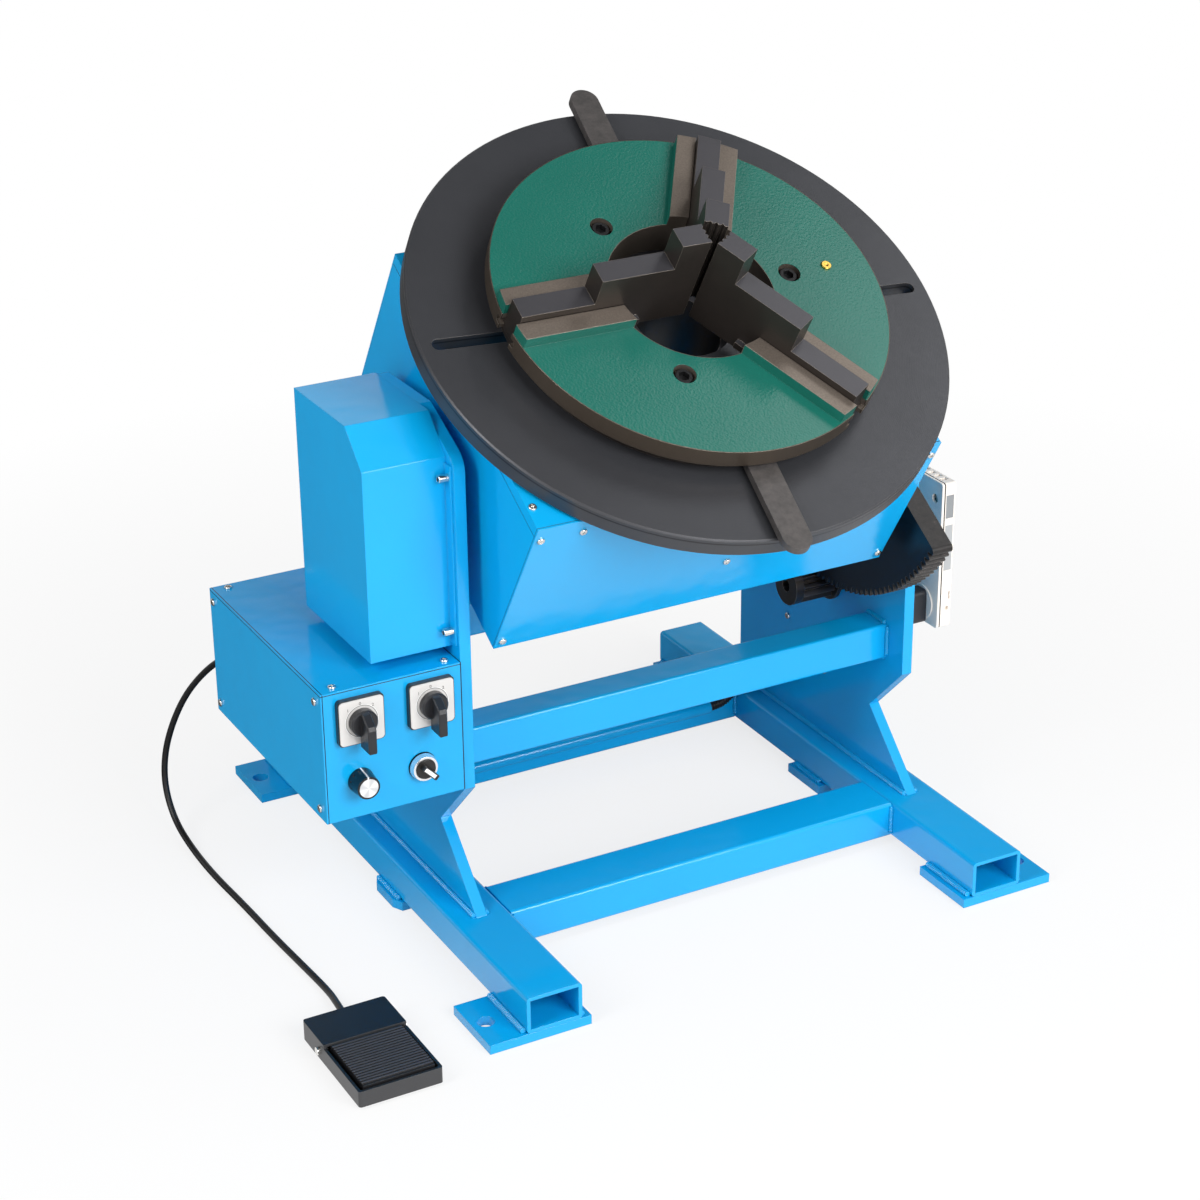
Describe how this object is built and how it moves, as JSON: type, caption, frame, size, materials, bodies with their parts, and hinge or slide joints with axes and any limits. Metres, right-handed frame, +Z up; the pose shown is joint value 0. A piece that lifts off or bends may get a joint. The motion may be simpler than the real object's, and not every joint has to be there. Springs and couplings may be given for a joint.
{
  "type": "welding positioner",
  "caption": "Floor-standing tilting rotary table on a welded steel frame, with a hand-turned self-centring chuck, a side control box and a corded foot switch.",
  "frame": {"origin": "on the floor, at the centre of the four floor-bolt holes", "axes": "+Z up, +X along the tilt axis towards the tilt drive, -Y towards the operator"},
  "size_m": [0.8625, 0.7037, 0.7916],
  "materials": {
    "blue_paint": "smooth gloss enamel",
    "green_enamel": "hammered enamel",
    "black_steel": "blackened, turned face",
    "ground_steel": "ground",
    "dark_steel": "oiled dark steel",
    "cast_chuck": "machined cast iron",
    "black_paint": "semi-gloss black paint",
    "stainless": "polished stainless",
    "die_cast": "sand-blasted die cast",
    "black_plastic": "fine texture",
    "silver_plate": "satin anodised",
    "chrome": "polished",
    "brass": "turned",
    "black_rubber": "matt"
  },
  "bodies": {
    "base": {"left_foot_tube": "blue_paint", "right_foot_tube": "blue_paint", "cross_tubes": "blue_paint", "foot_plates": "blue_paint", "mid_foot_plates": "blue_paint", "left_upright": "blue_paint", "right_upright": "blue_paint", "tie_beam": "blue_paint", "control_box_chassis": "blue_paint", "control_box_cover": "blue_paint", "frame_screws": "stainless", "cam_switch_bodies": "black_plastic", "cam_switch_plates": "silver_plate", "selector_bezel": "chrome", "speed_potentiometer": "black_plastic", "motor_controller": "silver_plate", "trunnion_cover": "blue_paint", "left_flange_bearing": "ground_steel", "right_flange_bearing": "ground_steel", "tilt_gear_case": "die_cast", "gear_case_spacers": "black_paint", "tilt_motor": "black_paint", "pinion_bush": "dark_steel", "conduit_pipe": "blue_paint", "conduit_hose": "black_rubber", "cable_gland": "black_plastic", "foot_switch_cord": "black_rubber", "pedal_base": "black_plastic", "pedal_pin": "dark_steel", "pedal_feet": "black_rubber"},
    "cradle": {"cradle_left_cheek": "blue_paint", "cradle_right_cheek": "blue_paint", "cradle_top_plate": "blue_paint", "cradle_front_panel": "blue_paint", "cradle_rear_panel": "blue_paint", "cradle_screws": "stainless", "left_trunnion": "dark_steel", "right_trunnion": "dark_steel", "sector_gear": "black_paint", "spindle_housing": "ground_steel", "spindle_bearings": "ground_steel", "rotation_motor": "black_paint"},
    "table": {"faceplate": "black_steel", "spindle": "dark_steel", "chuck_body": "green_enamel", "chuck_bolts": "dark_steel", "oil_nipple": "brass"},
    "scroll": {"scroll_ring": "dark_steel", "scroll_levers": "dark_steel"},
    "jaw_1": {"jaw_1": "dark_steel"},
    "jaw_2": {"jaw_2": "dark_steel"},
    "jaw_3": {"jaw_3": "dark_steel"},
    "tilt_pinion": {"tilt_pinion": "dark_steel"},
    "rotation_pinion": {"rotation_pinion": "dark_steel"},
    "left_switch_lever": {"left_switch_lever": "black_plastic"},
    "right_switch_lever": {"right_switch_lever": "black_plastic"},
    "selector_lever": {"selector_lever": "black_plastic"},
    "speed_knob": {"speed_knob": "black_plastic", "speed_knob_cap": "silver_plate"},
    "treadle": {"treadle": "black_plastic"}
  },
  "joints": [
    {"name": "table_tilt", "type": "hinge", "parent": "base", "child": "cradle", "pos_m": [0, -0.042, 0.501], "axis": [1, 0, 0], "range_deg": [-32, 58]},
    {"name": "table_rotation", "type": "hinge", "parent": "cradle", "child": "table", "pos_m": [0, -0.042, 0.501], "axis": [0, -0.5299, 0.848], "continuous": true},
    {"name": "scroll_turn", "type": "hinge", "parent": "table", "child": "scroll", "pos_m": [0, -0.12149, 0.62821], "axis": [0, -0.5299, 0.848], "range_deg": [-60, 2100]},
    {"name": "jaw_1_slide", "type": "slide", "parent": "table", "child": "jaw_1", "axis": [0.5, 0.7344, 0.4589], "range_m": [-0.0021, 0.0701]},
    {"name": "jaw_2_slide", "type": "slide", "parent": "table", "child": "jaw_2", "axis": [-1, 0, 0], "range_m": [-0.0021, 0.0701]},
    {"name": "jaw_3_slide", "type": "slide", "parent": "table", "child": "jaw_3", "axis": [0.5, -0.7344, -0.4589], "range_m": [-0.0021, 0.0701]},
    {"name": "tilt_pinion_turn", "type": "hinge", "parent": "base", "child": "tilt_pinion", "pos_m": [0.23, -0.00651, 0.24848], "axis": [1, 0, 0], "range_deg": [-770, 425]},
    {"name": "rotation_pinion_turn", "type": "hinge", "parent": "cradle", "child": "rotation_pinion", "pos_m": [-0.136, -0.05843, 0.52729], "axis": [0, -0.5299, 0.848], "continuous": true},
    {"name": "left_switch_turn", "type": "hinge", "parent": "base", "child": "left_switch_lever", "pos_m": [-0.375, -0.165, 0.295], "axis": [0, -1, 0], "range_deg": [-60, 60]},
    {"name": "right_switch_turn", "type": "hinge", "parent": "base", "child": "right_switch_lever", "pos_m": [-0.301, -0.165, 0.295], "axis": [0, -1, 0], "range_deg": [-60, 60]},
    {"name": "selector_turn", "type": "hinge", "parent": "base", "child": "selector_lever", "pos_m": [-0.311, -0.16, 0.227], "axis": [0, -1, 0], "range_deg": [-90, 0]},
    {"name": "speed_knob_turn", "type": "hinge", "parent": "base", "child": "speed_knob", "pos_m": [-0.3765, -0.16, 0.2285], "axis": [0, -1, 0], "range_deg": [-150, 150]},
    {"name": "treadle_press", "type": "hinge", "parent": "base", "child": "treadle", "pos_m": [-0.433, -0.258, 0.013], "axis": [1, 0, 0], "range_deg": [0, 4], "stiffness_Nm_per_rad": 0.6, "springref_deg": -6.88}
  ],
  "couplings": [
    {"joint": "tilt_pinion_turn", "follows": "table_tilt", "ratio": -13.167},
    {"joint": "rotation_pinion_turn", "follows": "table_rotation", "ratio": -2.4},
    {"joint": "jaw_1_slide", "follows": "scroll_turn", "m_per_rad": 0.0019099},
    {"joint": "jaw_2_slide", "follows": "scroll_turn", "m_per_rad": 0.0019099},
    {"joint": "jaw_3_slide", "follows": "scroll_turn", "m_per_rad": 0.0019099}
  ]
}
